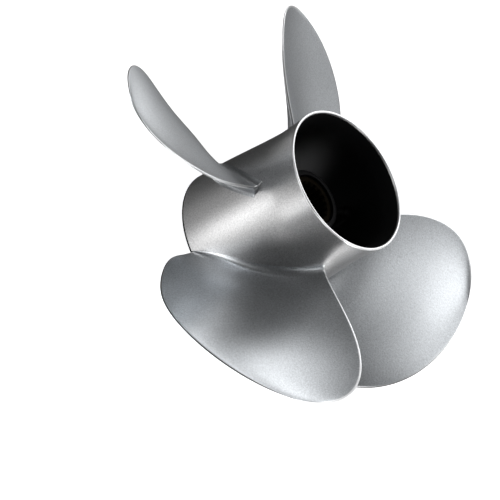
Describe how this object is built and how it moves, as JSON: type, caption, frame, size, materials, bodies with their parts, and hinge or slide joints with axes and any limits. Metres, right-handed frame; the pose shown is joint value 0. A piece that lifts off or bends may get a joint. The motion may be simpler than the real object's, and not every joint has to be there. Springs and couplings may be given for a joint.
{
  "type": "ship propeller",
  "caption": "Stainless steel ship propeller: wide skewed blades on a hollow flow-through hub, with a ribbed inner hub and a splined drive sleeve.",
  "frame": {"origin": "centre of the flat front end of the hub barrel, on the shaft axis; the part stands on this end", "axes": "+Z along the shaft axis, pointing aft out of the open mouth of the hub; +X through the hub at the middle of blade_1's root"},
  "size_m": [0.4828, 0.4828, 0.166],
  "materials": {
    "propeller_steel": "satin, bead blasted stainless steel with polished edges",
    "inner_steel": "dark as-cast stainless steel",
    "sleeve_bronze": "machined bronze"
  },
  "bodies": {
    "root": {"hub_barrel": "propeller_steel", "blade_1": "propeller_steel", "blade_2": "propeller_steel", "blade_3": "propeller_steel", "blade_4": "propeller_steel", "inner_hub": "inner_steel", "web_1": "inner_steel", "web_2": "inner_steel", "web_3": "inner_steel", "web_4": "inner_steel", "spline_sleeve": "sleeve_bronze"}
  },
  "joints": []
}
